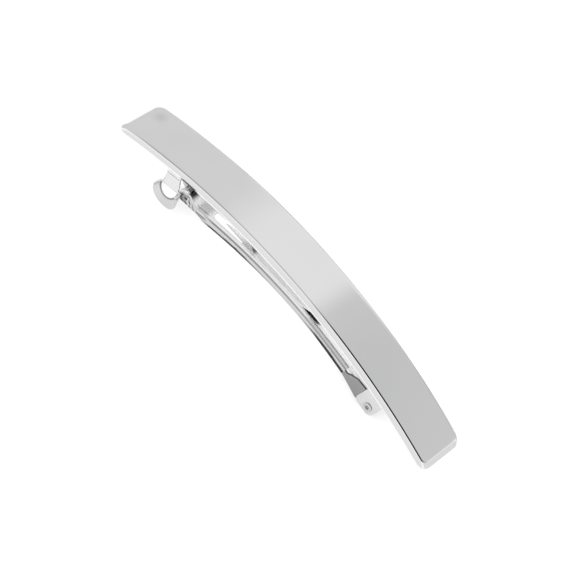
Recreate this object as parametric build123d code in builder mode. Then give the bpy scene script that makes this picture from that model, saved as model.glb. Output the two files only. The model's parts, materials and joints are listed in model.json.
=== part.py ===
"""Hair barrette: a long bowed metal plate on a spring clip with pinch pads.

Millimetres. The barrette rests as it lies on a table, plate up, on its two finger pads
and its two hinge ears. +X runs along it towards the hinge, +Z is up, and the origin is
the middle of the ground it covers.

Every place on the clip is given as (arc, depth): arc is measured along the plate's top
face from its middle, positive towards the hinge, and depth goes down square to it.
"""
from math import asin, atan2, cos, hypot, radians, sin, sqrt
import os

from build123d import *

# Plate: one bowed strip with rounded corners and a bevelled rim
plate_chord = 90.0  # straight distance between its ends
plate_bow = 7.6  # rise of its middle above its ends
plate_width = 12.4
plate_thick = 0.9
plate_corner = 2.0
bevel_width = 0.95
bevel_drop = 0.4

# Clearances
glue_gap = 0.05  # between pieces fixed to each other
pin_clearance = 0.05  # round the pin, on the radius
side_play = 0.3  # beside the tongue, to the arms and ears
bar_play = 0.3  # between the tension bar and the tongue

# Base: one stamping, folded down into two catch arms and two hinge ears
sheet = 0.5
base_width = 6.4
catch_arc = -32.1  # middle of the catch arms
pin_arc = 30.1  # hinge axis
pin_depth = 7.75
arm_lean = 0.35  # catch arms stand this much nearer the hinge at the strip
arm_top_width = 2.7
arm_low_width = 4.4
bend_depth = 8.15  # lower bend of the catch arms
ear_before_pin = 3.15
ear_past_pin = 1.75
ear_below_pin = 1.65
ear_corner = 1.1

# Finger pads: a dished ring round the lower end of each catch arm
dish_radius = 2.4
dish_lean = 10.0  # degrees that the dish's floor tips outwards
pad_drop = 1.45  # rim's middle below the bend
pad_out = 1.2  # rim's middle outside the arm
pad_radius = 3.5
pad_lean = 12.0  # degrees that the rim tips inwards at its foot
pad_wall = 0.4
pad_open = 0.1  # the ring is open from this far above the bend

# Hinge pin, peened over at both ends
pin_radius = 0.7
head_radius = 1.0
head_thick = 0.2
dimple_radius = 0.5
dimple_depth = 0.12

# Tongue: a channel open towards the hair; its top is the web, its sides are the rails
tongue_sheet = 0.45
shoulder = 0.8  # rounding between web and rails
web_nose_depth = 8.4
web_middle_depth = 7.5
web_hinge_depth = 7.2
rail_nose_height = 2.2
rail_middle_height = 1.7
rail_waist_height = 1.4
rail_hinge_height = 1.95
rail_from_root = 2.8
rail_step = 1.6
waist_before_pin = 18.8
web_before_pin = 8.7  # end of the web
notch_depth = 1.5  # drop of the rails just past the web
cheek_radius = 1.7
cheek_length = 3.4
cheek_top_rise = 1.5
cheek_foot_drop = 2.4
nose_past_catch = 1.7
nose_length = 5.0
nose_rise = 1.55  # crest of the nose above the web
nose_height = 2.75  # crest of the nose above its tip
slot_from_nose = 9.0
slot_before_pin = 18.5
slot_width = 3.2
leaf_from_nose = 17.7  # a leaf closes the slot from below, from here to past its end
leaf_past_slot = 2.0

# Tension bar: a thin bowed spring between the base and the tongue
bar_width = 4.2
bar_thick = 0.35
bar_from_catch = 2.8
bar_before_pin = 3.1
bar_crown_left = -8.2
bar_crown_right = 5.0
bar_knee_left = -12.4
bar_knee_right = 9.5
bar_knee_left_rise = 3.3  # knees above the web
bar_knee_right_rise = 2.3
bar_bend = 5.0

bend_radius = (plate_chord**2 / 4 + plate_bow**2) / (2 * plate_bow)
plate_half_arc = bend_radius * asin(plate_chord / 2 / bend_radius)
half_base = base_width / 2
inner_base = half_base - sheet
half_tongue = inner_base - side_play
inner_tongue = half_tongue - tongue_sheet
strip_depth = plate_thick + glue_gap
strip_under = strip_depth + sheet
arm_top_arc = catch_arc + arm_lean
ear_right_arc = pin_arc + ear_past_pin
ear_depth = pin_depth + ear_below_pin
pad_depth = bend_depth + pad_drop
nose_arc = catch_arc + nose_past_catch
nose_root_arc = nose_arc + nose_length
crest_depth = web_nose_depth - nose_rise
nose_tip_depth = crest_depth + nose_height
web_end_arc = pin_arc - web_before_pin
web_middle_arc = (nose_root_arc + web_end_arc) / 2
slot_left_arc = nose_arc + slot_from_nose
slot_right_arc = pin_arc - slot_before_pin


def at(arc, depth):
    """Side-view point of a place on the clip, before it is tipped onto its feet."""
    angle = arc / bend_radius
    return ((bend_radius - depth) * sin(angle), (bend_radius - depth) * cos(angle) - bend_radius)


def web_depth(arc):
    """Depth of the web's top at this arc."""
    share = (arc - web_middle_arc) / (web_end_arc - web_middle_arc)
    fall = (web_hinge_depth - web_nose_depth) / 2
    bow = (web_hinge_depth + web_nose_depth) / 2 - web_middle_depth
    return web_middle_depth + share * fall + share**2 * bow


# Resting place: the line that touches both feet, the pads' rims and the ears' outer corners
pad_x, pad_z = at(catch_arc, pad_depth)
foot_x, foot_z = at(ear_right_arc - ear_corner, ear_depth - ear_corner)
feet_apart = hypot(foot_x - pad_x, foot_z - pad_z)
tilt = 0.0
for _ in range(4):  # a leaning rim reaches down by an amount that follows the tilt
    rim_slope = sin(radians(pad_lean)) * cos(catch_arc / bend_radius + tilt)
    pad_reach = pad_radius * sqrt(1 - rim_slope**2)
    tilt = atan2(foot_z - pad_z, foot_x - pad_x) + asin((pad_reach - ear_corner) / feet_apart)
end_z = at(plate_half_arc, bevel_drop)[1]
floor_z = pad_z * cos(tilt) - pad_x * sin(tilt) - pad_reach
side = Plane(
    origin=(-end_z * sin(tilt), 0, -floor_z),
    x_dir=(cos(tilt), 0, -sin(tilt)),
    z_dir=(0, -1, 0),
)


def run(*places):
    """Arcs that follow the plate's curve from place to place, their depth changing evenly."""
    for (arc_0, depth_0), (arc_1, depth_1) in zip(places, places[1:]):
        middle = at((arc_0 + arc_1) / 2, (depth_0 + depth_1) / 2)
        ThreePointArc(at(arc_0, depth_0), middle, at(arc_1, depth_1))


def band(left, right, top, thick):
    """Side view of a strip that follows the plate."""
    with BuildLine() as outline:
        run((left, top), (right, top))
        Line(at(right, top), at(right, top + thick))
        run((right, top + thick), (left, top + thick))
        Line(at(left, top + thick), at(left, top))
    return outline.line


def facing_out(arc, depth, out, lean):
    """Plane of a pad: faces away from the clip, its foot tipped outwards by lean degrees."""
    angle = arc / bend_radius
    tip = radians(lean)
    centre = Vector(*at(arc, depth), out)
    along = Vector(cos(angle), -sin(angle), 0)
    facing = Vector(sin(angle) * sin(tip), cos(angle) * sin(tip), cos(tip))
    origin = side.from_local_coords(centre)
    return Plane(
        origin=origin,
        x_dir=side.from_local_coords(centre + along) - origin,
        z_dir=side.from_local_coords(centre + facing) - origin,
    )


def nose_curl(inset):
    """Side view of the nose's curl, from its tip to the web, set in from the outside."""
    step = inset * 0.7
    tip = at(nose_arc + inset, nose_tip_depth)
    flank = at(nose_arc + 0.24 * nose_length + step, crest_depth + 0.36 * nose_height + step)
    crest = at(nose_arc + 0.66 * nose_length, crest_depth + inset)
    slope = at(nose_root_arc - 0.1 * nose_length - step, crest_depth + 0.6 * nose_rise + step)
    root = at(nose_root_arc + 0.16 * nose_length - step, web_nose_depth + inset)
    along_web = Vector(*at(nose_root_arc + 1, web_nose_depth)) - Vector(*at(nose_root_arc, web_nose_depth))
    up = Vector(*at(nose_arc, 0)) - Vector(*at(nose_arc, 1))
    return Spline(tip, flank, crest, slope, root, tangents=(up, along_web))


with BuildPart() as plate:
    with BuildSketch(side.offset(-plate_width / 2)):
        make_face(band(-plate_half_arc, plate_half_arc, 0, plate_thick))
    extrude(amount=plate_width)
    corner_edges = plate.edges().filter_by(lambda edge: abs(edge.length - plate_thick) < plate_thick / 50)
    fillet(corner_edges, plate_corner)
    top_face = plate.faces().filter_by(GeomType.CYLINDER).sort_by(SortBy.AREA)[-1]
    chamfer(top_face.edges(), length=bevel_width, length2=bevel_drop, reference=top_face)

with BuildPart() as base:
    # Near pad: a flaring wall round a dished floor, open above where the arm enters
    for arm_face, wall in ((inner_base, 0), (half_base, pad_wall)):
        with BuildSketch(facing_out(catch_arc, bend_depth, arm_face, dish_lean)):
            Circle(dish_radius + pad_wall - wall)
        with BuildSketch(facing_out(catch_arc, pad_depth, half_base + pad_out, -pad_lean)):
            Circle(pad_radius - wall)
        loft(mode=Mode.SUBTRACT if wall else Mode.ADD)
    with BuildSketch(side):
        make_face(band(catch_arc - 2 * pad_radius, catch_arc + 2 * pad_radius, 0, bend_depth - pad_open))
    extrude(amount=plate_width, mode=Mode.SUBTRACT)
    mirror(about=Plane.XZ)
    # Strip under the plate
    with BuildSketch(side.offset(-half_base)):
        make_face(band(arm_top_arc - arm_top_width / 2, ear_right_arc, strip_depth, sheet))
    extrude(amount=base_width)
    # Arms and ears, alike on both sides
    for inner_face in (inner_base, -half_base):
        with BuildSketch(side.offset(inner_face)):
            with BuildLine():
                Polyline(
                    at(arm_top_arc - arm_top_width / 2, strip_depth),
                    at(arm_top_arc + arm_top_width / 2, strip_depth),
                    at(catch_arc + arm_low_width / 2, bend_depth),
                    at(catch_arc - arm_low_width / 2, bend_depth),
                    close=True,
                )
            make_face()
        extrude(amount=sheet)
        with BuildSketch(side.offset(inner_face)) as ear_sketch:
            with BuildLine():
                Polyline(
                    at(pin_arc - ear_before_pin, strip_depth),
                    at(ear_right_arc, strip_depth),
                    at(ear_right_arc, ear_depth),
                    at(pin_arc - ear_before_pin, ear_depth),
                    close=True,
                )
            make_face()
            fillet(ear_sketch.vertices().sort_by(Axis.Y)[:2], ear_corner)
        extrude(amount=sheet)
    with BuildSketch(side):
        with Locations(at(pin_arc, pin_depth)):
            Circle(pin_radius + pin_clearance)
    extrude(amount=base_width, both=True, mode=Mode.SUBTRACT)

with BuildPart() as hinge_pin:
    head_face = half_base + glue_gap
    with BuildSketch(side.offset(-head_face)):
        with Locations(at(pin_arc, pin_depth)):
            Circle(pin_radius)
    extrude(amount=2 * head_face)
    with BuildSketch(side.offset(head_face)):
        with Locations(at(pin_arc, pin_depth)):
            Circle(head_radius)
    extrude(amount=head_thick)
    with BuildSketch(side.offset(head_face + head_thick)):
        with Locations(at(pin_arc, pin_depth)):
            Circle(dimple_radius)
    extrude(amount=-dimple_depth, mode=Mode.SUBTRACT)
    mirror(about=Plane.XZ)

with BuildPart() as tongue:
    # Side view of the whole channel, filled
    with BuildSketch(side.offset(-half_tongue)):
        with BuildLine():
            curl = nose_curl(0)
            ThreePointArc(curl @ 1, at(web_middle_arc, web_middle_depth), at(web_end_arc, web_hinge_depth))
            Polyline(
                at(web_end_arc, web_hinge_depth),
                at(web_end_arc + 0.7 * notch_depth, web_hinge_depth + notch_depth),
                at(pin_arc - cheek_length, pin_depth - cheek_top_rise),
                at(pin_arc, pin_depth - cheek_radius),
            )
            ThreePointArc(
                at(pin_arc, pin_depth - cheek_radius),
                at(pin_arc + cheek_radius, pin_depth),
                at(pin_arc, pin_depth + cheek_radius),
            )
            waist_arc = pin_arc - waist_before_pin
            waist = (waist_arc, web_depth(waist_arc) + rail_waist_height)
            rail_middle_arc = (nose_root_arc + waist_arc) / 2
            rail_middle = (rail_middle_arc, web_depth(rail_middle_arc) + rail_middle_height)
            rail_start_arc = nose_root_arc + rail_from_root
            rail_start = (rail_start_arc, web_depth(rail_start_arc) + rail_nose_height)
            run(
                (pin_arc, pin_depth + cheek_radius),
                (pin_arc - cheek_length, pin_depth + cheek_foot_drop),
                (web_end_arc, web_hinge_depth + rail_hinge_height),
                waist,
            )
            ThreePointArc(at(*waist), at(*rail_middle), at(*rail_start))
            nose_foot = (nose_root_arc + rail_step, nose_tip_depth + rail_step / 5)
            run(rail_start, nose_foot, (nose_arc, nose_tip_depth))
        make_face()
    extrude(amount=2 * half_tongue)
    # Rounded shoulders between the web and the rails
    shoulder_edges = [
        edge
        for face in tongue.faces().sort_by(Axis.Z)[-2:]
        for edge in face.edges()
        if abs(abs(edge.center().Y) - half_tongue) < glue_gap
    ]
    fillet(shoulder_edges, shoulder)
    # Inside of the channel, open at the foot, and open at the top past the web
    with BuildSketch(side.offset(-inner_tongue)):
        with BuildLine():
            curl = nose_curl(tongue_sheet)
            web_end = at(web_end_arc, web_hinge_depth + tongue_sheet)
            ThreePointArc(curl @ 1, at(web_middle_arc, web_middle_depth + tongue_sheet), web_end)
            Polyline(
                web_end,
                at(web_end_arc, strip_under),
                at(ear_right_arc + cheek_radius, strip_under),
                at(ear_right_arc + cheek_radius, ear_depth + cheek_foot_drop),
                at(nose_arc + tongue_sheet, ear_depth + cheek_foot_drop),
                curl @ 0,
            )
        make_face()
    extrude(amount=2 * inner_tongue, mode=Mode.SUBTRACT)
    # Long slot through the web
    slot_left = side.from_local_coords((*at(slot_left_arc, 0), 0))
    slot_right = side.from_local_coords((*at(slot_right_arc, 0), 0))
    along_slot = slot_right - slot_left
    across_slot = along_slot.cross(Vector(0, 1, 0))
    with BuildSketch(Plane((slot_left + slot_right) / 2, x_dir=along_slot, z_dir=across_slot)):
        SlotOverall(along_slot.length, slot_width)
    extrude(amount=-2 * pin_depth, mode=Mode.SUBTRACT)
    # Leaf under the slot, let into the web and the rails by half the sheet
    with BuildSketch(side.offset(-inner_tongue - tongue_sheet / 2)):
        with BuildLine():
            leaf_left = nose_arc + leaf_from_nose
            leaf_right = slot_right_arc + leaf_past_slot
            leaf_places = []
            for arc in (leaf_left, (leaf_left + leaf_right) / 2, leaf_right):
                leaf_places.append((arc, web_depth(arc) + tongue_sheet * 0.9))
            ThreePointArc(*[at(*place) for place in leaf_places])
            ThreePointArc(*[at(arc, depth + tongue_sheet) for arc, depth in leaf_places])
            for arc, depth in (leaf_places[0], leaf_places[-1]):
                Line(at(arc, depth), at(arc, depth + tongue_sheet))
        make_face()
    extrude(amount=2 * inner_tongue + tongue_sheet)
    with BuildSketch(side):
        with Locations(at(pin_arc, pin_depth)):
            Circle(pin_radius + pin_clearance)
    extrude(amount=half_tongue, both=True, mode=Mode.SUBTRACT)

with BuildPart() as tension_bar:
    bar_root_depth = strip_under + glue_gap + bar_thick / 2
    bar_rise = bar_play + bar_thick / 2
    with BuildSketch(side.offset(-bar_width / 2)):
        with BuildLine():
            spring_line = FilletPolyline(
                at(catch_arc + bar_from_catch, bar_root_depth),
                at(bar_knee_left, web_depth(bar_knee_left) - bar_knee_left_rise),
                at(bar_crown_left, web_depth(bar_crown_left) - bar_rise),
                at(bar_crown_right, web_depth(bar_crown_right) - bar_rise),
                at(bar_knee_right, web_depth(bar_knee_right) - bar_knee_right_rise),
                at(pin_arc - bar_before_pin, bar_root_depth),
                radius=bar_bend,
            )
        trace(spring_line, bar_thick)
    extrude(amount=bar_width)

pieces = {
    "plate": plate,
    "base": base,
    "hinge_pin": hinge_pin,
    "tongue": tongue,
    "tension_bar": tension_bar,
}
os.makedirs("parts", exist_ok=True)
for name, piece in pieces.items():
    piece.part.label = name
    export_step(piece.part, f"parts/{name}.step")
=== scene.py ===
"""Looks of the hair barrette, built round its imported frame.

Pieces are modelled in millimetres, with x along the plate's arc, y across and z up from the
plate's top face. They are bowed like the plate and then laid down in metres.
"""

from itertools import pairwise
import json
from math import asin, atan2, cos, pi, radians, sin, sqrt, tan

import bmesh
import bpy
from mathutils import Matrix, Vector
from mathutils.geometry import interpolate_bezier


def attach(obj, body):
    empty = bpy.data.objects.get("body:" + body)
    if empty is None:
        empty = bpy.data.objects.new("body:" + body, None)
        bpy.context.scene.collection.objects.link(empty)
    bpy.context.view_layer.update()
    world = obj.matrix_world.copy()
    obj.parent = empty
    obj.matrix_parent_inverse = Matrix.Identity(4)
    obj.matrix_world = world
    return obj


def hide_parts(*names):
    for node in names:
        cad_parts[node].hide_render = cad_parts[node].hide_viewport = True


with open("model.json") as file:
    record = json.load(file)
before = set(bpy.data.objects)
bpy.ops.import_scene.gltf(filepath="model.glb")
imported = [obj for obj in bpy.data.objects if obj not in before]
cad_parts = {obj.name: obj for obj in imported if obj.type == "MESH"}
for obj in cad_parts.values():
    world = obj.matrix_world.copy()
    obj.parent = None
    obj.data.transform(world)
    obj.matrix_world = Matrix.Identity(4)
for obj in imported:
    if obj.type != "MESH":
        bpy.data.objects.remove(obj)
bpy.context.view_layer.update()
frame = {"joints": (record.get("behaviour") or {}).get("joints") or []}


# The plate is what shows in the hair: a strip of steel, rounded at its corners, with a bevelled
# rim pressed all round its top. It is bowed along its length, polished and plated bright.
plate_chord = 90.0
plate_bow = 7.6
plate_width = 12.4
plate_thick = 0.9
plate_corner = 2.2
bevel_width = 0.95
end_bevel_width = 1.1  # across the plate's two ends
bevel_drop = 0.4
crest_rounding = 0.28  # where the bevel meets the top face
rim_rounding = 0.14
foot_rounding = 0.1
plate_spot = Vector((-42.3, 2.7, 0))  # a faint darker spot near the far end
plate_spot_radius = 1.9
plate_spot_level = 0.17
plate_shadow_arcs = (-28.0, -24.2)  # painted shadow low on the rim, beside the catch arms
plate_shadow_depths = (0.5, 0.88)
plate_shadow_level = 0.97
rest_tilt = radians(3.816)  # the barrette lies hinge end down
pin_arc = 30.1
pin_depth = 7.75
near = 1e-4  # closer than this, two places are one
sharp_turn = radians(46)  # edges that turn by more than this are shaded sharp
haze_tint = 0.03  # share by which the haze darkens and brightens the metal
haze_gloss = (0.7, 1.4)  # times the roughness, where the haze is thin and where it is thick
# Near black for painted shade and the dark spots, pale grey for painted light
shade_and_spot_colour = (0.012, 0.012, 0.013, 1)
painted_light_colour = (0.86, 0.86, 0.86, 1)
painted_light_roughness = 0.5
grain_height = 2e-6  # metres
mm = 0.001

bend_radius = (plate_chord**2 / 4 + plate_bow**2) / (2 * plate_bow)
plate_length = 2 * bend_radius * asin(plate_chord / 2 / bend_radius)


def bowed(arc, y, z):
    """Where a point of a straight piece comes once the piece is bowed like the plate."""
    reach = bend_radius + z
    return Vector((reach * sin(arc / bend_radius), y, reach * cos(arc / bend_radius) - bend_radius))


def bow(bm):
    """Bows a straight piece."""
    for vert in bm.verts:
        vert.co = bowed(*vert.co)


def verts_in(parts):
    """The points in a mixed list of a mesh's parts."""
    return [part for part in parts if isinstance(part, bmesh.types.BMVert)]


def whole(bm):
    """All the parts of a mesh."""
    return bm.verts[:] + bm.edges[:] + bm.faces[:]


def cut(bm, place, way):
    """Cuts the faces in two at a place, square to a way."""
    bmesh.ops.bisect_plane(bm, geom=whole(bm), dist=1e-5, plane_co=place, plane_no=way)


def cut_across(bm, start, end, step=1.0):
    """Cuts a straight piece across at even steps, so that it bows smoothly."""
    count = max(1, round((end - start) / step))
    for i in range(count + 1):
        cut(bm, (start + (end - start) * i / count, 0, 0), (1, 0, 0))


def round_corners(bm, verts, radius, segments):
    """Rounds the corners of a flat outline."""
    bmesh.ops.bevel(
        bm, geom=verts, offset=radius, offset_type="OFFSET", affect="VERTICES",
        segments=segments, profile=0.5, material=-1,
    )


def round_edges(bm, edges, width, segments=2):
    """Rounds edges off."""
    bmesh.ops.bevel(
        bm, geom=edges, offset=width, offset_type="OFFSET", affect="EDGES",
        segments=segments, profile=0.5, material=-1, clamp_overlap=True,
    )


def laid_down(name, bm, body, node, material):
    """Lays a bowed piece on its feet, in metres, as an object that stands for its node."""
    bmesh.ops.remove_doubles(bm, verts=bm.verts, dist=near)
    bmesh.ops.recalc_face_normals(bm, faces=bm.faces)
    pin_place = bowed(pin_arc, 0, -pin_depth)
    bmesh.ops.translate(bm, verts=bm.verts, vec=-pin_place)
    bmesh.ops.rotate(bm, verts=bm.verts, matrix=Matrix.Rotation(rest_tilt, 3, "Y"))
    bmesh.ops.scale(bm, verts=bm.verts, vec=(mm, mm, mm))
    bmesh.ops.translate(bm, verts=bm.verts, vec=frame["joints"][0]["pos_m"])
    mesh = bpy.data.meshes.new(name)
    bm.to_mesh(mesh)
    bm.free()
    mesh.polygons.foreach_set("use_smooth", [True] * len(mesh.polygons))
    mesh.set_sharp_from_angle(angle=sharp_turn)
    mesh.materials.append(material)
    piece = bpy.data.objects.new(name, mesh)
    bpy.context.scene.collection.objects.link(piece)
    shading = piece.modifiers.new("even_shading", "WEIGHTED_NORMAL")
    shading.weight = 80
    shading.keep_sharp = True
    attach(piece, body)
    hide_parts(node)


def fade(place, stops):
    """Level at a place, between (place, level) stops."""
    for (start, level), (end, next_level) in pairwise(stops):
        if place <= end:
            return level + (next_level - level) * max(0, place - start) / (end - start)
    return stops[-1][1]


def plating(name, colour, roughness, grain, has_painted_light=True):
    """Bright plated steel: hazy patches, lengthwise polishing streaks and fine grain.

    The piece's own shade layer paints shade and dark spots on it in near black, and its light
    layer, where it has any, paints light on it as a pale, matt, less metallic coat.
    """
    material = bpy.data.materials.new(name)
    material.use_nodes = True
    nodes, links = material.node_tree.nodes, material.node_tree.links
    shader = nodes["Principled BSDF"]
    place = nodes.new("ShaderNodeTexCoord")

    def noise(scale, detail, stretch=(1, 1, 1)):
        mapping = nodes.new("ShaderNodeMapping")
        mapping.inputs["Scale"].default_value = stretch
        links.new(place.outputs["Object"], mapping.inputs["Vector"])
        made = nodes.new("ShaderNodeTexNoise")
        made.inputs["Scale"].default_value = scale
        made.inputs["Detail"].default_value = detail
        links.new(mapping.outputs["Vector"], made.inputs["Vector"])
        return made.outputs["Fac"]

    def attribute(kind):
        read = nodes.new("ShaderNodeAttribute")
        read.attribute_name = kind
        return read.outputs["Fac"]

    def painted_over(share, under, paint):
        mix = nodes.new("ShaderNodeMix")
        mix.data_type = "RGBA"
        links.new(share, mix.inputs["Factor"])
        links.new(under, mix.inputs["A"])
        mix.inputs["B"].default_value = paint
        return mix.outputs["Result"]

    haze = noise(scale=130, detail=3)
    streaks = noise(scale=2200, detail=2, stretch=(0.03, 1, 1))
    grit = noise(scale=6000, detail=2)

    tint = nodes.new("ShaderNodeMix")
    tint.data_type = "RGBA"
    links.new(haze, tint.inputs["Factor"])
    tint.inputs["A"].default_value = (*[c * (1 - haze_tint) for c in colour], 1)
    tint.inputs["B"].default_value = (*[min(1, c * (1 + haze_tint)) for c in colour], 1)
    # Painted shade and dark spots, in near black
    surface = painted_over(attribute("shade_and_spots"), tint.outputs["Result"], shade_and_spot_colour)
    rough = nodes.new("ShaderNodeMapRange")
    rough.inputs["To Min"].default_value = roughness * haze_gloss[0]
    rough.inputs["To Max"].default_value = roughness * haze_gloss[1]
    links.new(haze, rough.inputs["Value"])
    # Painted light: a pale, matt, less metallic coat
    if has_painted_light:
        painted_light = attribute("painted_light")
        surface = painted_over(painted_light, surface, painted_light_colour)
        metal = nodes.new("ShaderNodeMath")
        metal.operation = "SUBTRACT"
        metal.inputs[0].default_value = 1.0
        links.new(painted_light, metal.inputs[1])
        links.new(metal.outputs["Value"], shader.inputs["Metallic"])
        matt = nodes.new("ShaderNodeMapRange")
        links.new(painted_light, matt.inputs["Value"])
        links.new(rough.outputs["Result"], matt.inputs["To Min"])
        matt.inputs["To Max"].default_value = painted_light_roughness
        links.new(matt.outputs["Result"], shader.inputs["Roughness"])
    else:
        shader.inputs["Metallic"].default_value = 1.0
        links.new(rough.outputs["Result"], shader.inputs["Roughness"])
    links.new(surface, shader.inputs["Base Color"])

    height = nodes.new("ShaderNodeMath")
    height.operation = "ADD"
    links.new(streaks, height.inputs[0])
    links.new(grit, height.inputs[1])
    bump = nodes.new("ShaderNodeBump")
    bump.inputs["Strength"].default_value = grain
    bump.inputs["Distance"].default_value = grain_height
    links.new(height.outputs["Value"], bump.inputs["Height"])
    links.new(bump.outputs["Normal"], shader.inputs["Normal"])
    return material


bm = bmesh.new()
bmesh.ops.create_grid(bm, x_segments=1, y_segments=1, size=0.5)
bmesh.ops.scale(bm, verts=bm.verts, vec=(plate_length, plate_width, 1))
bmesh.ops.translate(bm, verts=bm.verts, vec=(0, 0, -bevel_drop))
round_corners(bm, bm.verts[:], plate_corner, segments=12)
sunk = verts_in(bmesh.ops.extrude_face_region(bm, geom=bm.faces[:])["geom"])
bmesh.ops.translate(bm, verts=sunk, vec=(0, 0, bevel_drop - plate_thick))
bmesh.ops.recalc_face_normals(bm, faces=bm.faces)
top = max(bm.faces, key=lambda face: face.calc_center_median().z)
bmesh.ops.inset_region(bm, faces=[top], thickness=bevel_width, depth=bevel_drop, use_even_offset=True)
end_share = (plate_length - 2 * end_bevel_width) / (plate_length - 2 * bevel_width)
bmesh.ops.scale(bm, verts=top.verts[:], vec=(end_share, 1, 1))
for depth, rounding in ((0, crest_rounding), (bevel_drop, rim_rounding), (plate_thick, foot_rounding)):
    edges = [e for e in bm.edges if all(abs(v.co.z + depth) < near for v in e.verts)]
    round_edges(bm, edges, rounding, segments=3)
cut_across(bm, plate_corner - plate_length / 2, plate_length / 2 - plate_corner)
for i in range(-2, 3):
    step = i * plate_spot_radius / 2
    cut(bm, (plate_spot.x + step, plate_spot.y, 0), (1, 0, 0))
    cut(bm, (plate_spot.x, plate_spot.y + step, 0), (0, 1, 0))
shade_and_spot_layer = bm.verts.layers.float.new("shade_and_spots")
# Painted shadow low on the rim beside the catch arms, and a faint darker spot on the top near the far end
for vert in bm.verts:
    beside_arms = plate_shadow_arcs[0] < vert.co.x < plate_shadow_arcs[1]
    if beside_arms and plate_shadow_depths[0] < -vert.co.z < plate_shadow_depths[1]:
        vert[shade_and_spot_layer] = plate_shadow_level
    elif vert.co.z > -near:
        vert[shade_and_spot_layer] = fade((vert.co - plate_spot).length, ((0, plate_spot_level), (plate_spot_radius, 0)))
bow(bm)
polish = plating("polished_plate", (0.7, 0.7, 0.705), roughness=0.09, grain=0.25, has_painted_light=False)
laid_down("bowed_plate", bm, "barrette", "plate", polish)


# The base is one stamping of thin plated steel, fixed under the plate. Its strip is folded down
# into two catch arms at one end and two hinge ears at the other, all with rounded folds.
sheet = 0.5
base_width = 6.4
strip_depth = 0.95
fold_round = 0.6  # outside radius of the folds
catch_arc = -32.1
arm_left_arc = -33.1
arm_right_arc = -30.4
arm_foot_left = -34.3
arm_foot_right = -29.9
bend_depth = 8.15  # lower end of the arms
arm_steps = 16
ear_left_arc = 26.95
ear_right_arc = 31.85
ear_depth = 9.4
ear_corner = 1.1
cut_rounding = 0.07  # on the edges that the stamping left
arm_shadow_depth = 4.87  # a fine painted shadow line across each arm
arm_shadow_half = 0.13
arm_shadow_level = 0.75
bend_shade_band = 0.2  # a dim painted shade line along each arm's lower end
bend_shade_level = 0.35
bend_light = 0.2
arm_light = 0.3
arm_edge_highlight = 0.9  # painted highlight on the arms' cut edges
ear_light = 0.17  # painted light on the ears and on the strip's lower edges

half_base = base_width / 2
flat_half = half_base - fold_round
strip_length = ear_right_arc - arm_left_arc


def edges_in(parts):
    """The edges in a mixed list of a mesh's parts."""
    return [part for part in parts if isinstance(part, bmesh.types.BMEdge)]


def grow(bm, edges):
    """Draws edges out into new faces, of no width yet, and gives the new points and edges."""
    grown = bmesh.ops.extrude_edge_only(bm, edges=edges)["geom"]
    verts = verts_in(grown)
    return verts, [e for e in edges_in(grown) if all(v in verts for v in e.verts)]


def thicken(bm, thickness):
    """Gives an open skin its thickness, downwards or inwards from the outside that was drawn."""
    bmesh.ops.recalc_face_normals(bm, faces=bm.faces)
    if max(bm.faces, key=lambda face: abs(face.normal.z) * face.calc_area()).normal.z < 0:
        bmesh.ops.reverse_faces(bm, faces=bm.faces)
    bmesh.ops.solidify(bm, geom=bm.faces[:], thickness=thickness)


def sharp_edges(bm, angle=50.0):
    """Edges where two faces meet at more than this angle."""
    return [e for e in bm.edges if len(e.link_faces) == 2 and e.calc_face_angle(0) > radians(angle)]


def painted_layers(bm):
    """The painted shade, with the dark spots, and the painted light of a piece's points."""
    return bm.verts.layers.float.new("shade_and_spots"), bm.verts.layers.float.new("painted_light")


def add_form(bm, form):
    """Adds a form that was made apart."""
    spare = bpy.data.meshes.new("form")
    form.to_mesh(spare)
    bm.from_mesh(spare)
    bpy.data.meshes.remove(spare)


def add_both_sides(bm, form):
    """Adds a form and its mirror image across the clip."""
    add_form(bm, form)
    bmesh.ops.scale(form, verts=form.verts, vec=(1, -1, 1))
    add_form(bm, form)


bm = bmesh.new()
shade_and_spot_layer, painted_light = painted_layers(bm)
bmesh.ops.create_grid(bm, x_segments=1, y_segments=1, size=0.5)
bmesh.ops.scale(bm, verts=bm.verts, vec=(strip_length, 2 * flat_half, 1))
bmesh.ops.translate(bm, verts=bm.verts, vec=(ear_right_arc - strip_length / 2, 0, -strip_depth))
for i in range(1, arm_steps + 1):
    cut(bm, (arm_left_arc + (arm_right_arc - arm_left_arc) * i / arm_steps, 0, 0), (1, 0, 0))
cut(bm, (ear_left_arc, 0, 0), (1, 0, 0))
for way in (-1, 1):
    brim = [e for e in bm.edges if all(abs(v.co.y - way * flat_half) < near for v in e.verts)]
    arm = [e for e in brim if max(v.co.x for v in e.verts) < arm_right_arc + near]
    ear = [e for e in brim if min(v.co.x for v in e.verts) > ear_left_arc - near]
    lip = grow(bm, [e for e in brim if e not in arm + ear])[0]
    bmesh.ops.translate(bm, verts=lip, vec=(0, way * fold_round, 0))
    for flap in (arm, ear):
        folded = bmesh.ops.spin(
            bm, geom=flap + list(dict.fromkeys(v for e in flap for v in e.verts)),
            cent=(0, way * flat_half, -strip_depth - fold_round), axis=(1, 0, 0), angle=-way * pi / 2,
            steps=6, use_merge=False,
        )["geom_last"]
        foot = grow(bm, edges_in(folded))[0]
        if flap is arm:
            for vert in foot:
                share = (vert.co.x - arm_left_arc) / (arm_right_arc - arm_left_arc)
                vert.co.x = arm_foot_left + share * (arm_foot_right - arm_foot_left)
                vert.co.z = -bend_depth
        else:
            for vert in foot:
                vert.co.z = -ear_depth
            round_corners(bm, foot, ear_corner, segments=8)
thicken(bm, sheet)
round_edges(bm, sharp_edges(bm), cut_rounding)
cut_across(bm, arm_right_arc + 1, ear_left_arc - 1, 1.5)
for depth in (arm_shadow_depth - arm_shadow_half, arm_shadow_depth, arm_shadow_depth + arm_shadow_half, bend_depth - bend_shade_band):
    cut(bm, (0, 0, -depth), (0, 0, 1))
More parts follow.
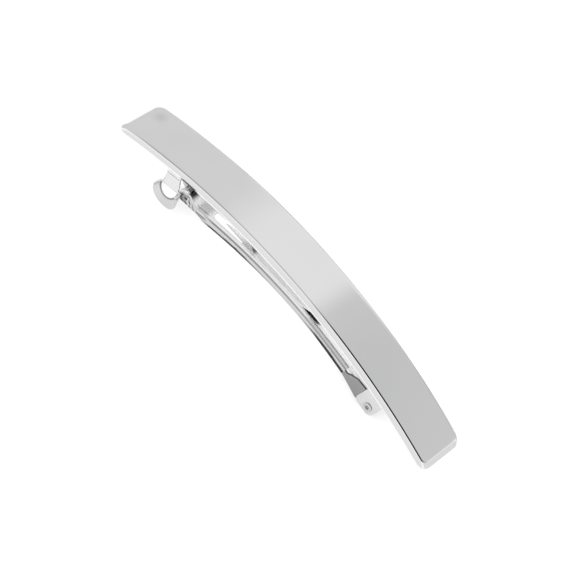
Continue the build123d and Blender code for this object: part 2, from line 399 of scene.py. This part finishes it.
# Painted light on the arms, their cut edges, the ears and the strip's lower edges; a painted shadow line
# across each arm, and painted shade along each arm's lower end
for vert in bm.verts:
    depth = -vert.co.z
    if abs(vert.co.y) <= flat_half + fold_round / 2 or depth <= strip_depth + fold_round / 2:
        continue
    down = (depth - strip_depth - fold_round) / (bend_depth - strip_depth - fold_round)
    arm_edge = arm_right_arc + down * (arm_foot_right - arm_right_arc)
    if vert.co.x > arm_foot_right + near:
        vert[painted_light] = ear_light
    elif vert.co.x > arm_edge - cut_rounding * 0.7:
        vert[painted_light] = arm_edge_highlight
    elif abs(depth - arm_shadow_depth) < arm_shadow_half / 2:
        vert[shade_and_spot_layer] = arm_shadow_level
    elif depth > bend_depth - bend_shade_band / 2:
        vert[painted_light] = bend_light
        vert[shade_and_spot_layer] = bend_shade_level
    else:
        vert[painted_light] = arm_light

# Finger pads: each arm ends in a dished floor with a ring that flares out round its lower half.
dish_radius = 2.4
dish_tip = radians(10)
pad_radius = 3.5
pad_tip = radians(-12)
pad_depth = 9.6
pad_out = 1.2
pad_wall = 0.4
pad_top = 8.05  # the ring is open above this depth
crease_rounding = 0.3
lip_rounding = 0.15
dish_floor_light = 0.95
crease_shade_level = 0.75
crease_shade = 0.2  # more painted shade in the crease's upper part, and less in its lower one
pad_back_shade = 0.55
ring_end_light = 0.5
slack = 0.02  # for finding the points of a surface


def facing(out, depth, tip):
    """Places a circle upright on the near side of the clip, its foot tipped outwards."""
    return Matrix.Translation((catch_arc, -out, -depth)) @ Matrix.Rotation(pi / 2 - tip, 4, "X")


floor_place = facing(half_base, bend_depth, dish_tip)
lip_place = facing(half_base + pad_out, pad_depth, pad_tip)
back_place = facing(half_base - sheet, bend_depth, dish_tip)
back_radius = dish_radius + pad_wall
rings = (
    (dish_radius, floor_place), (pad_radius - pad_wall, lip_place), (pad_radius, lip_place),
    (back_radius, back_place),
)
pad = bmesh.new()
pad_shade, pad_light = painted_layers(pad)
bmesh.ops.create_circle(pad, cap_ends=True, radius=dish_radius, segments=64, matrix=floor_place)
loops = [pad.edges[:]]
for (radius, place), (next_radius, next_place) in pairwise(rings):
    verts, edges = grow(pad, loops[-1])
    growth = Matrix.Scale(next_radius / radius, 4)
    bmesh.ops.transform(pad, matrix=next_place @ growth @ place.inverted(), verts=verts)
    loops.append(edges)
floor_edge, lip_inside, lip_outside, back_edge = loops
bmesh.ops.edgeloop_fill(pad, edges=back_edge)
crease = bmesh.ops.bevel(
    pad, geom=floor_edge, offset=crease_rounding, offset_type="OFFSET", affect="EDGES",
    segments=4, profile=0.5, material=-1,
)["verts"]
for loop in (lip_inside, lip_outside, back_edge):
    round_edges(pad, loop, lip_rounding)
on_floor = floor_place.inverted()
# Painted light on the dish floor, and painted shade in the crease
for vert in crease:
    spot = on_floor @ vert.co
    if spot.xy.length < dish_radius - crease_rounding + slack:
        vert[pad_light] = dish_floor_light
    elif all(e.other_vert(vert) in crease for e in vert.link_edges):
        vert[pad_shade] = crease_shade_level + crease_shade * spot.y / dish_radius
# Painted shade on the pads' backs
on_back = back_place.inverted()
for vert in pad.verts:
    spot = on_back @ vert.co
    if abs(spot.z) < slack / 2 and spot.xy.length < back_radius:
        vert[pad_shade] = pad_back_shade
ring_ends = bmesh.ops.bisect_plane(
    pad, geom=whole(pad), plane_co=(0, 0, -pad_top), plane_no=(0, 0, 1), clear_outer=True,
)["geom_cut"]
bmesh.ops.edgeloop_fill(pad, edges=edges_in(ring_ends))
# Painted light on the ring's cut ends
for vert in pad.verts:
    if vert.co.z > -pad_top - slack:
        vert[pad_light] = max(vert[pad_light], ring_end_light)
add_both_sides(bm, pad)
pad.free()
bow(bm)
nickel = plating("clip_metal", (0.55, 0.55, 0.555), roughness=0.1, grain=0.3)
laid_down("folded_base", bm, "barrette", "base", nickel)


# The tension bar is a strip of thin spring steel, fixed at both ends under the base and bent
# into a low arch whose flat crown presses the hair against the tongue.
bar_width = 4.2
bar_thick = 0.35
bar_bend = 5.0
bar_knots = (  # (arc, depth)
    (-29.3, 1.675), (-12.4, 4.526), (-8.2, 7.205), (5.0, 6.872), (9.5, 4.978), (27.0, 1.675),
)
# Painted light over the bar, and painted shade where its crown comes down to the tongue
bar_light = 0.42
bar_shade_along = ((-10.6, 0), (-9.8, 0.85), (-8.6, 0.85), (-7.8, 0))  # (place, level)

points = [bowed(arc, 0, -depth) for arc, depth in bar_knots]
legs = [b - a for a, b in pairwise(points)]
headings = [atan2(leg.z, leg.x) for leg in legs]
turns = [b - a for a, b in pairwise(headings)] + [0.0]
trims = [0.0] + [abs(bar_bend * tan(turn / 2)) for turn in turns]
bm = bmesh.new()
shade_and_spot_layer, painted_light = painted_layers(bm)
end = [bm.verts.new(points[0] + Vector((0, y, 0))) for y in (-bar_width / 2, bar_width / 2)]
strip = [bm.edges.new(end)]
for leg, turn, before, after in zip(legs, turns, trims, trims[1:]):
    end, strip = grow(bm, strip)
    way = leg.normalized()
    bmesh.ops.translate(bm, verts=end, vec=way * (leg.length - before - after))
    if turn:
        side_way = Vector((-way.z, 0, way.x)) * (bar_bend if turn > 0 else -bar_bend)
        bent = bmesh.ops.spin(
            bm, geom=strip + end, cent=end[0].co + side_way, axis=(0, 1, 0), angle=-turn, steps=10,
            use_merge=False,
        )["geom_last"]
        strip = edges_in(bent)
thicken(bm, bar_thick)
bmesh.ops.translate(bm, verts=bm.verts, vec=(0, 0, bar_thick / 2))
round_edges(bm, sharp_edges(bm), cut_rounding)
# Painted shade where the crown comes down to the tongue, and painted light over the rest
for vert in bm.verts:
    vert[shade_and_spot_layer] = fade(vert.co.x, bar_shade_along)
    vert[painted_light] = bar_light * (1 - vert[shade_and_spot_layer])
spring = plating("spring_metal", (0.52, 0.52, 0.53), roughness=0.12, grain=0.3)
laid_down("arched_tension_bar", bm, "barrette", "tension_bar", spring)


# The tongue is a channel rolled from thin plated steel, open towards the hair. At the catch end
# it rises in a curled nose, a long slot lightens its web, and two cheeks hold the pin.
tongue_sheet = 0.45
half_tongue = 2.4
shoulder = 0.8
web_start_arc = -25.4
web_end_arc = 21.4
web_nose_depth = 8.4
web_middle_depth = 7.5
web_hinge_depth = 7.2
slot_left_arc = -21.4
slot_right_arc = 11.6
slot_radius = 1.6
nose_knots = (  # (arc, depth)
    (-30.95, 9.6), (-29.8, 7.8), (-27.4, 6.85), (-25.9, 7.78), (-24.6, web_nose_depth),
)
nose_leaves = Vector((0, 0, 2))
nose_arrives = Vector((1.5, 0, 0))
nose_steps = 9
crest_arc = -27.2
crest_reach = 2.0
crest_trim = 0.3  # the shoulder is tighter at the nose's crest
root_arcs = [-23.5, -22.5]  # stations between the nose and the slot
slot_end_steps = 8
web_end_steps = 10
shoulder_steps = 8
wall_steps = 10
rail_start = (-22.6, 10.46)  # along the rails' lower edge, as (arc, depth)
rail_waist = (11.3, 9.05)
rail_bow = 1.166
foot_knots = ((-30.95, 9.6), (-23.8, 9.92), rail_start, rail_waist, (21.4, 9.35))

# Painted light, painted shade and dark spots along the tongue, as (arc, level)
web_light_along = (
    (-26.4, 0), (-25.9, 0.5), (-25.2, 0.5), (-24.7, 0), (-22.3, 0), (-21.4, 0.55), (9, 0.6), (12, 0.75),
)
web_shade_along = ((-29.2, 0.5), (-28.2, 0.6), (-27.8, 0.95), (-26.8, 0.95), (-26.3, 0))
shoulder_light_along = (
    (-30.8, 0), (-30.3, 0.7), (-28.2, 0.7), (-27.8, 0), (-26.4, 0), (-25.9, 0.5), (-25.2, 0.5), (-24.7, 0),
    (-22.3, 0), (-21.4, 0.55), (7, 0.6), (10, 0),
)
shoulder_shade_along = ((-27.9, 0), (-27.5, 0.9), (-26.8, 0.9), (-26.3, 0))
line_shade_along = ((-23, 0.0), (-20, 0.7), (-4, 0.6), (8, 0.5), (21.4, 0.65))
rail_shade_along = (
    (-22.5, 0), (-20.5, 0.9), (-11, 0.9), (-8, 0.75), (-4, 0.35), (0, 0.1), (6, 0.1), (9.5, 0.5),
    (13, 0.95), (21.4, 0.95),
)
rail_shade_height = (  # (arc, height over the rail's lower edge)
    (-18, 0.45), (-13, 0.6), (-8, 0.4), (9, 0.4), (13, 0.75),
)
nose_spots_along = ((-30.4, 2.2), (-23.5, 2.2), (-21.5, 0))
nose_spot_level = 0.9

web_middle_arc = (web_start_arc + web_end_arc) / 2
web_half_arc = web_end_arc - web_middle_arc
web_flat = half_tongue - shoulder
slot_straight_steps = round(slot_right_arc - slot_left_arc - 2 * slot_radius)


def web_depth(arc):
    """Depth of the web's top."""
    share = (arc - web_middle_arc) / web_half_arc
    fall = (web_hinge_depth - web_nose_depth) / 2
    sag = (web_hinge_depth + web_nose_depth) / 2 - web_middle_depth
    return web_middle_depth + share * fall + share**2 * sag


def foot_depth(arc):
    """Depth of the rails' lower edge."""
    for left, right in pairwise(foot_knots):
        if arc <= right[0]:
            share = max(0, arc - left[0]) / (right[0] - left[0])
            bend = rail_bow * share * (1 - share) if left == rail_start else 0
            return left[1] + (right[1] - left[1]) * share - bend
    return foot_knots[-1][1]


def slot_edge(arc):
    """Half the slot's width."""
    past = max(slot_left_arc + slot_radius - arc, arc - slot_right_arc + slot_radius, 0)
    return sqrt(max(0, slot_radius**2 - past**2))


def smooth_run(knots, first_way, last_way, steps):
    """Points of a smooth curve through the knots."""
    ways = [first_way] + [(c - a) / 2 for a, c in zip(knots, knots[2:])] + [last_way]
    run = []
    for (a, b), (leave, arrive) in zip(pairwise(knots), pairwise(ways)):
        run += interpolate_bezier(a, a + leave / 3, b - arrive / 3, b, steps)[:-1]
    return run + [knots[-1]]


# The outside of the tongue's middle line, from the nose's tip to the web's end
nose_line = [Vector((arc, 0, -depth)) for arc, depth in nose_knots]
skin_line = smooth_run(nose_line, nose_leaves, nose_arrives, nose_steps)
arcs = root_arcs[:]
for i in range(slot_end_steps + 1):
    arcs.append(slot_left_arc + slot_radius * (1 - cos(i / slot_end_steps * pi / 2)))
arcs += [slot_left_arc + slot_radius + i for i in range(1, slot_straight_steps)]
for i in range(slot_end_steps + 1):
    arcs.append(slot_right_arc - slot_radius * (1 - sin(i / slot_end_steps * pi / 2)))
for i in range(1, web_end_steps + 1):
    arcs.append(slot_right_arc + i * (web_end_arc - slot_right_arc) / web_end_steps)
skin_line += [Vector((arc, 0, -web_depth(arc))) for arc in arcs]


def skin_point(i, j, inset):
    """A point of the tongue: station i along it, row j from the slot to the foot, inset deep."""
    here = skin_line[i]
    along = (skin_line[min(i + 1, len(skin_line) - 1)] - skin_line[max(i - 1, 0)]).normalized()
    out = Vector((-along.z, 0, along.x))
    if j == 0:
        return here - out * inset + Vector((0, min(web_flat, slot_edge(here.x)), 0))
    turn = min(1, (j - 1) / shoulder_steps) * pi / 2
    outer = shoulder - crest_trim * max(0, 1 - abs(here.x - crest_arc) / crest_reach)
    rounding = outer - inset
    aside = half_tongue - outer + rounding * sin(turn)
    point = here + out * (rounding * cos(turn) - outer) + Vector((0, aside, 0))
    share = max(0, j - 1 - shoulder_steps) / wall_steps
    foot = min(-foot_depth(point.x), point.z)
    point.z += (foot - point.z) * share
    return point


bm = bmesh.new()
shade_and_spot_layer, painted_light = painted_layers(bm)
station = bm.verts.layers.int.new("station")
row = bm.verts.layers.int.new("row")
stations = len(skin_line) - 1
rows = 1 + shoulder_steps + wall_steps
bmesh.ops.create_grid(bm, x_segments=stations, y_segments=rows, size=0.5)
for vert in bm.verts:
    vert[station] = round((vert.co.x + 0.5) * stations)
    vert[row] = round((vert.co.y + 0.5) * rows)
inside = set(verts_in(bmesh.ops.extrude_face_region(bm, geom=bm.faces[:])["geom"]))
for vert in bm.verts:
    vert.co = skin_point(vert[station], vert[row], tongue_sheet if vert in inside else 0)
    if vert in inside:
        continue
    arc, across = vert.co.x, vert[row]
    if across <= 1:  # the web: painted light, and a painted dark reflection at the nose's crest
        vert[painted_light] = fade(arc, web_light_along)
        vert[shade_and_spot_layer] = fade(arc, web_shade_along)
    elif across <= shoulder_steps - 3:  # the shoulder: painted light, and a painted dark reflection at the nose's crest
        vert[painted_light] = fade(arc, shoulder_light_along)
        vert[shade_and_spot_layer] = fade(arc, shoulder_shade_along)
    elif across in (shoulder_steps - 1, shoulder_steps):  # a fine painted dark reflection along its foot
        vert[shade_and_spot_layer] = fade(arc, line_shade_along)
    elif across > shoulder_steps + 1:  # the rail: a painted dark reflection along its lower edge, and dark spots over the nose's wall
        rise = foot_depth(arc) + vert.co.z
        rail_shade = fade(arc, rail_shade_along) if rise < fade(arc, rail_shade_height) else 0
        # Small dark spots, in crossing rows over the nose's wall
        spot_pattern = sin(2.3 * arc + 0.5 * across) * sin(0.9 * across - 3.1 * arc)
        vert[shade_and_spot_layer] = max(rail_shade, min(nose_spot_level, fade(arc, nose_spots_along) * spot_pattern))
middle = [face for face in bm.faces if all(abs(vert.co.y) < near for vert in face.verts)]
bmesh.ops.delete(bm, geom=middle, context="FACES")
bmesh.ops.mirror(bm, geom=whole(bm), matrix=Matrix(), merge_dist=near, axis="Y")

# Cheeks: the rails' ends, cut as a boss round the pin
pin_hole = 0.75
cheek_outline = (  # (arc, depth), from the web's end to over the pin
    (21.4, 8.0), (22.1, 8.1), (23.1, 7.3), (24.4, 6.45), (25.7, 6.35), (26.7, 6.25), (30.1, 6.05),
)
cheek_foot = ((26.9, 10.3), (21.4, 9.35))
cheek_shade_level = 0.47
cheek_top_shade_level = 0.75
cheek_top_depth = 8.2

cheek = bmesh.new()
cheek_shade = cheek.verts.layers.float.new("shade_and_spots")
outline = [cheek.verts.new((arc, 0, -depth)) for arc, depth in cheek_outline]
for a, b in pairwise(outline):
    cheek.edges.new((a, b))
turned = bmesh.ops.spin(
    cheek, geom=[outline[-1]], cent=(pin_arc, 0, -pin_depth), axis=(0, 1, 0), angle=pi, steps=16,
    use_merge=False,
)["geom_last"]
last = verts_in(turned)[0]
for arc, depth in cheek_foot:
    vert = cheek.verts.new((arc, 0, -depth))
    cheek.edges.new((last, vert))
    last = vert
cheek.edges.new((last, outline[0]))
hole = bmesh.ops.create_circle(cheek, cap_ends=False, radius=pin_hole, segments=24)["verts"]
bmesh.ops.rotate(cheek, verts=hole, matrix=Matrix.Rotation(pi / 2, 3, "X"))
bmesh.ops.translate(cheek, verts=hole, vec=(pin_arc, 0, -pin_depth))
bmesh.ops.triangle_fill(cheek, edges=cheek.edges[:], use_beauty=True)
bmesh.ops.translate(cheek, verts=cheek.verts, vec=(0, -half_tongue, 0))
walled = verts_in(bmesh.ops.extrude_face_region(cheek, geom=cheek.faces[:])["geom"])
bmesh.ops.translate(cheek, verts=walled, vec=(0, tongue_sheet, 0))
bmesh.ops.recalc_face_normals(cheek, faces=cheek.faces)
free_edges = [e for e in sharp_edges(cheek) if any(v.co.x > web_end_arc + slack for v in e.verts)]
round_edges(cheek, free_edges, cut_rounding)
cut_across(cheek, web_end_arc + 1, pin_arc)
# Painted dark reflection over the cheeks, darker high up on their inner faces
for vert in cheek.verts:
    on_top = -vert.co.z < cheek_top_depth and abs(vert.co.y) < half_tongue - slack
    vert[cheek_shade] = cheek_top_shade_level if on_top else cheek_shade_level
add_both_sides(bm, cheek)
cheek.free()

# Leaf: closes the slot from below past its first stretch
leaf_left = -12.7
leaf_tip = -18.3  # the leaf runs to a point under the slot's open stretch
tip_half = 0.65
leaf_right = 13.6
leaf_drop = 0.4
# Painted light along the leaf, and painted dark reflection in two stretches under the tension bar
leaf_shade_along = (
    (-13.4, 0), (-12.4, 0.3), (-10.5, 0.3), (-9.5, 0), (6.6, 0), (7.4, 0.97), (10.2, 0.97), (11, 0),
)
leaf_light_along = (
    (-13.4, 0.55), (-12.4, 0.2), (-10.5, 0.2), (-9.5, 0.7), (5.6, 0.7), (6.6, 0), (10.6, 0), (11.6, 0.7),
)

leaf_length = leaf_right - leaf_left
leaf = bmesh.new()
leaf_shade, leaf_light = painted_layers(leaf)
bmesh.ops.create_grid(leaf, x_segments=34, y_segments=14, size=0.5)
bmesh.ops.scale(leaf, verts=leaf.verts, vec=(leaf_length, 2 * half_tongue - tongue_sheet, 1))
bmesh.ops.translate(leaf, verts=leaf.verts, vec=((leaf_left + leaf_right) / 2, 0, 0))
for vert in leaf.verts:
    point_out = max(0, 1 - abs(vert.co.y) / tip_half) * (leaf_left - leaf_tip)
    vert.co.x -= point_out * (leaf_right - vert.co.x) / leaf_length
    vert.co.z = -web_depth(vert.co.x) - leaf_drop
    vert[leaf_shade] = fade(vert.co.x, leaf_shade_along)
    vert[leaf_light] = fade(vert.co.x, leaf_light_along)
thicken(leaf, tongue_sheet)
add_form(bm, leaf)
leaf.free()

# Tail: the web runs on between the cheeks
tail_arc = 27.4
tail_light_level = 0.6

tail = bmesh.new()
tail_light = tail.verts.layers.float.new("painted_light")
bmesh.ops.create_grid(tail, x_segments=6, y_segments=1, size=0.5)
bmesh.ops.scale(tail, verts=tail.verts, vec=(tail_arc - web_end_arc, 2 * (half_tongue - tongue_sheet), 1))
bmesh.ops.translate(tail, verts=tail.verts, vec=((tail_arc + web_end_arc) / 2, 0, -web_hinge_depth))
# Painted light over the tail
for vert in tail.verts:
    vert[tail_light] = tail_light_level
thicken(tail, tongue_sheet)
add_form(bm, tail)
tail.free()

bow(bm)
rolled = plating("tongue_metal", (0.54, 0.54, 0.545), roughness=0.1, grain=0.3)
laid_down("rolled_tongue", bm, "tongue", "tongue", rolled)


# The hinge pin is a short steel rivet. Both its ends are peened into low heads over the ears,
# which leaves a dimple in the middle of each.
pin_radius = 0.7
head_radius = 1.0
head_face = 3.25
head_thick = 0.2
dimple_radius = 0.5
dimple_depth = 0.12
dimple_shade = 0.95
dimple_floor = 0.3  # radius of its flat bottom
head_edge = 0.15
head_fall = 0.02
pin_profile = (  # (radius, distance from the middle)
    (0, head_face + head_thick - dimple_depth),
    (dimple_floor, head_face + head_thick - dimple_depth),
    (dimple_radius, head_face + head_thick),
    (head_radius - head_edge, head_face + head_thick - head_fall),
    (head_radius, head_face + head_thick / 2),
    (head_radius, head_face),
    (pin_radius, head_face),
    (pin_radius, 0),
)

bm = bmesh.new()
shade_and_spot_layer = bm.verts.layers.float.new("shade_and_spots")
profile = [bm.verts.new((radius, 0, height)) for radius, height in pin_profile]
# Painted shade in each head's dimple
profile[1][shade_and_spot_layer] = dimple_shade
for a, b in pairwise(profile):
    bm.edges.new((a, b))
bmesh.ops.spin(
    bm, geom=whole(bm), cent=(0, 0, 0), axis=(0, 0, 1), angle=2 * pi, steps=48, use_merge=True,
)
bmesh.ops.remove_doubles(bm, verts=bm.verts, dist=near)
bmesh.ops.mirror(bm, geom=whole(bm), matrix=Matrix(), merge_dist=near, axis="Z")
bmesh.ops.rotate(bm, verts=bm.verts, matrix=Matrix.Rotation(pi / 2, 3, "X"))
bmesh.ops.rotate(bm, verts=bm.verts, matrix=Matrix.Rotation(pin_arc / bend_radius, 3, "Y"))
bmesh.ops.translate(bm, verts=bm.verts, vec=bowed(pin_arc, 0, -pin_depth))
peened = plating("pin_metal", (0.5, 0.5, 0.5), roughness=0.2, grain=0.4, has_painted_light=False)
laid_down("peened_pin", bm, "barrette", "hinge_pin", peened)


# Camera, at the photograph's angle.
camera_azimuth = radians(18.887)
camera_elevation = radians(48.095)
camera_roll = radians(31.627)
camera_distance = 0.43541
camera_aim = Vector((0.001202, -0.001987, 0.008))
camera = bpy.data.objects.new("camera", bpy.data.cameras.new("camera"))
bpy.context.scene.collection.objects.link(camera)
bpy.context.scene.camera = camera
camera.data.sensor_width = 36
camera.data.lens = 141.856
back = Vector((
    sin(camera_azimuth) * cos(camera_elevation),
    -cos(camera_azimuth) * cos(camera_elevation),
    sin(camera_elevation),
))
camera.matrix_world = (
    Matrix.Translation(camera_aim + camera_distance * back)
    @ Matrix.Rotation(camera_azimuth, 4, "Z")
    @ Matrix.Rotation(pi / 2 - camera_elevation, 4, "X")
    @ Matrix.Rotation(camera_roll, 4, "Z")
)
camera.data.clip_start = 0.01
camera.data.clip_end = 10

# Floor: a plain white table, wide enough for every view
bm = bmesh.new()
bmesh.ops.create_circle(bm, cap_ends=True, radius=3.0, segments=96)
mesh = bpy.data.meshes.new("floor")
bm.to_mesh(mesh)
bm.free()
floor = bpy.data.objects.new("floor", mesh)
bpy.context.scene.collection.objects.link(floor)
paper = bpy.data.materials.new("white_table")
paper.use_nodes = True
matt_white = paper.node_tree.nodes["Principled BSDF"]
matt_white.inputs["Base Color"].default_value = (0.9, 0.9, 0.9, 1)
matt_white.inputs["Roughness"].default_value = 0.9
matt_white.inputs["Specular IOR Level"].default_value = 0.0
mesh.materials.append(paper)

# Studio light: soft panels all round, told by the direction they shine from.
world = bpy.data.worlds.new("studio")
bpy.context.scene.world = world
world.use_nodes = True
nodes, links = world.node_tree.nodes, world.node_tree.links
place = nodes.new("ShaderNodeTexCoord")
split = nodes.new("ShaderNodeSeparateXYZ")
links.new(place.outputs["Generated"], split.inputs["Vector"])


def levels(axis, stops):
    """Brightness along one axis of the direction, from (place, level) stops."""
    spread = nodes.new("ShaderNodeMapRange")
    spread.inputs["From Min"].default_value = -1.0
    links.new(split.outputs[axis], spread.inputs["Value"])
    ramp = nodes.new("ShaderNodeValToRGB")
    links.new(spread.outputs["Result"], ramp.inputs["Fac"])
    while len(ramp.color_ramp.elements) < len(stops):
        ramp.color_ramp.elements.new(0.5)
    for element, (at, level) in zip(ramp.color_ramp.elements, stops):
        element.position = (at + 1) / 2
        element.color = (level, level, level, 1)
    return ramp.outputs["Color"]


def combine(operation, one, other):
    """Joins two brightnesses, each a level or another node's output."""
    math = nodes.new("ShaderNodeMath")
    math.operation = operation
    for socket, value in zip(math.inputs, (one, other)):
        if isinstance(value, float):
            socket.default_value = value
        else:
            links.new(value, socket)
    return math.outputs["Value"]


# The plate's top shows the light from behind, which changes along it, and its rim shows a
# darker gap between the panels. All of it falls off towards the horizon.
behind = levels("X", (
    (-0.7, 0.86), (-0.36, 0.89), (-0.26, 1.05), (-0.02, 1.06), (0.03, 0.80), (0.2, 0.755), (0.47, 0.81),
    (0.51, 1.2), (0.57, 1.2), (0.61, 0.98),
))
behind_share = levels("Y", ((0.52, 0.0), (0.6, 1.0)))
round_about = levels("Y", ((-1.0, 0.95), (-0.3, 1.05), (0.02, 1.1), (0.06, 1.4), (0.14, 1.4), (0.2, 1.0)))
gap = levels("Y", ((0.16, 0.0), (0.22, 1.0), (0.54, 1.0), (0.6, 0.0)))
gap_depth = levels("X", (
    (-0.64, 0.15), (-0.6, 0.45), (-0.36, 0.45), (-0.3, 0.3), (0.0, 0.3), (0.1, 1.0), (0.55, 1.0),
    (0.65, 0.0),
))
mixed = nodes.new("ShaderNodeMix")
links.new(behind_share, mixed.inputs["Factor"])
links.new(round_about, mixed.inputs["A"])
links.new(behind, mixed.inputs["B"])
lit = combine("SUBTRACT", 1.0, combine("MULTIPLY", gap, gap_depth))
horizon = levels("Z", ((-0.02, 0.6), (0.04, 0.8), (0.1, 1.0)))
shade = combine("MULTIPLY", combine("MULTIPLY", mixed.outputs["Result"], lit), horizon)
nodes["Background"].inputs["Color"].default_value = (1, 1, 1, 1)
links.new(shade, nodes["Background"].inputs["Strength"])

fill = bpy.data.objects.new("fill", bpy.data.lights.new("fill", "SUN"))
bpy.context.scene.collection.objects.link(fill)
fill.data.energy = 1.9
fill.data.angle = radians(60)
fill.data.use_shadow = False
fill.visible_glossy = False

bpy.context.scene.view_settings.view_transform = "Standard"
